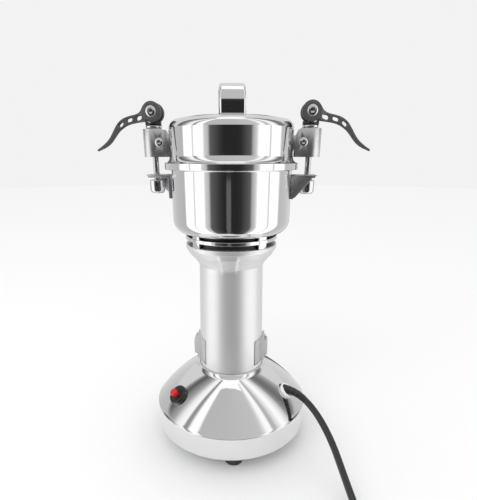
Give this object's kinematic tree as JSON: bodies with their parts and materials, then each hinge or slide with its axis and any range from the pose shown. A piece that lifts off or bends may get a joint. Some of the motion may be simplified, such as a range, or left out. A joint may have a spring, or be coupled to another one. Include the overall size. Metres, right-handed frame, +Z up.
{
  "type": "electric grain mill",
  "caption": "Upright electric grain mill: domed steel foot, cast motor column, round grinding bowl, lid with strap handle and cam-lever clamps, push switch and coiled mains cord.",
  "frame": {"origin": "on the floor under the motor shaft, at the foot of the feet", "axes": "+Z up along the motor shaft; the two lid clamps lie along X; the front, with the switch and the cord, faces -Y"},
  "size_m": [0.2261, 0.2985, 0.32],
  "materials": {
    "polished_base": "mirror polished stainless steel",
    "polished_steel": "mirror polished stainless steel",
    "bracket_steel": "polished stainless steel with a fine grain",
    "plain_steel": "ground steel",
    "fastener_steel": "bright plated steel",
    "blade_steel": "ground stainless steel",
    "cast_aluminium": "satin, bead-blasted cast aluminium",
    "lamination_steel": "stacked sheets, lacquered",
    "copper_winding": "lacquered copper wire and bars",
    "pin_brass": "bright brass",
    "lever_anodised": "dark grey anodised aluminium",
    "grey_plastic": "fine satin",
    "dark_plastic": "moulded phenolic",
    "black_gloss": "moulded black plastic",
    "button_red": "moulded red plastic",
    "white_plastic": "moulded white plastic",
    "fan_plastic": "moulded nylon",
    "wire_jacket": "thin flexible jacket",
    "cord_black": "soft glossy jacket",
    "carbon": "pressed graphite",
    "foot_rubber": "moulded",
    "seal_rubber": "moulded",
    "gasket_silicone": "pale silicone"
  },
  "bodies": {
    "base": {"base_shell": "polished_base", "base_plate": "plain_steel", "rubber_feet": "foot_rubber", "base_fasteners": "fastener_steel", "motor_housing": "cast_aluminium", "bearing_bridge": "cast_aluminium", "housing_screws": "fastener_steel", "ball_bearings": "plain_steel", "stator_core": "lamination_steel", "field_coils": "copper_winding", "brush_holders": "dark_plastic", "brush_covers": "grey_plastic", "cover_screws": "fastener_steel", "switch_body": "black_gloss", "switch_ring_nut": "dark_plastic", "inner_wires": "wire_jacket", "cord_grommet": "white_plastic", "strain_relief": "cord_black", "mains_cord": "cord_black", "cord_coil": "cord_black", "plug_body": "cord_black", "plug_pins": "pin_brass", "bowl_base_ring": "polished_steel", "bowl_shell": "polished_steel", "bowl_screws": "fastener_steel", "shaft_seal": "seal_rubber", "fork_brackets": "bracket_steel"},
    "switch_button": {"switch_button": "button_red"},
    "brush_left": {"carbon_brush_left": "carbon", "brush_spring_left": "fastener_steel"},
    "brush_right": {"carbon_brush_right": "carbon", "brush_spring_right": "fastener_steel"},
    "rotor": {"motor_shaft": "plain_steel", "armature_core": "lamination_steel", "armature_winding": "copper_winding", "commutator": "copper_winding", "cooling_fan": "fan_plastic", "lower_blade": "blade_steel", "blade_spacers": "blade_steel", "upper_blade": "blade_steel", "blade_nut": "fastener_steel"},
    "lid": {"lid_shell": "polished_steel", "lid_gasket": "gasket_silicone", "lid_handle": "polished_steel", "handle_screws": "fastener_steel", "lid_lugs": "bracket_steel", "hinge_pins": "fastener_steel"},
    "clamp_left": {"clamp_yoke_left": "bracket_steel", "clamp_rod_left": "plain_steel", "cam_pin_left": "fastener_steel", "cam_seat_left": "black_gloss", "clamp_nuts_left": "fastener_steel"},
    "clamp_right": {"clamp_yoke_right": "bracket_steel", "clamp_rod_right": "plain_steel", "cam_pin_right": "fastener_steel", "cam_seat_right": "black_gloss", "clamp_nuts_right": "fastener_steel"},
    "lever_left": {"clamp_lever_left": "lever_anodised"},
    "lever_right": {"clamp_lever_right": "lever_anodised"}
  },
  "joints": [
    {"name": "rotor_spin", "type": "hinge", "parent": "base", "child": "rotor", "pos_m": [0, 0, 0.2], "axis": [0, 0, 1], "continuous": true},
    {"name": "switch_press", "type": "slide", "parent": "base", "child": "switch_button", "axis": [0.5612, 0.4078, -0.7202], "range_m": [0, 0.0025], "stiffness_N_per_m": 500, "springref_m": -0.002},
    {"name": "brush_slide_left", "type": "slide", "parent": "base", "child": "brush_left", "axis": [-1, 0, 0], "range_m": [0, 0.003], "stiffness_N_per_m": 300, "springref_m": -0.003, "deforming": ["brush_spring_left"]},
    {"name": "brush_slide_right", "type": "slide", "parent": "base", "child": "brush_right", "axis": [1, 0, 0], "range_m": [0, 0.003], "stiffness_N_per_m": 300, "springref_m": -0.003, "deforming": ["brush_spring_right"]},
    {"name": "lid_lift", "type": "slide", "parent": "base", "child": "lid", "axis": [0, 0, 1], "range_m": [0, 0.12]},
    {"name": "clamp_swing_left", "type": "hinge", "parent": "lid", "child": "clamp_left", "pos_m": [-0.0576, 0, 0.2802], "axis": [0, 1, 0], "range_deg": [0, 28]},
    {"name": "clamp_swing_right", "type": "hinge", "parent": "lid", "child": "clamp_right", "pos_m": [0.0576, 0, 0.2802], "axis": [0, -1, 0], "range_deg": [0, 28]},
    {"name": "lever_turn_left", "type": "hinge", "parent": "clamp_left", "child": "lever_left", "pos_m": [-0.0634, 0, 0.3028], "axis": [0, 1, 0], "range_deg": [0, 115]},
    {"name": "lever_turn_right", "type": "hinge", "parent": "clamp_right", "child": "lever_right", "pos_m": [0.0634, 0, 0.3028], "axis": [0, -1, 0], "range_deg": [0, 115]}
  ]
}
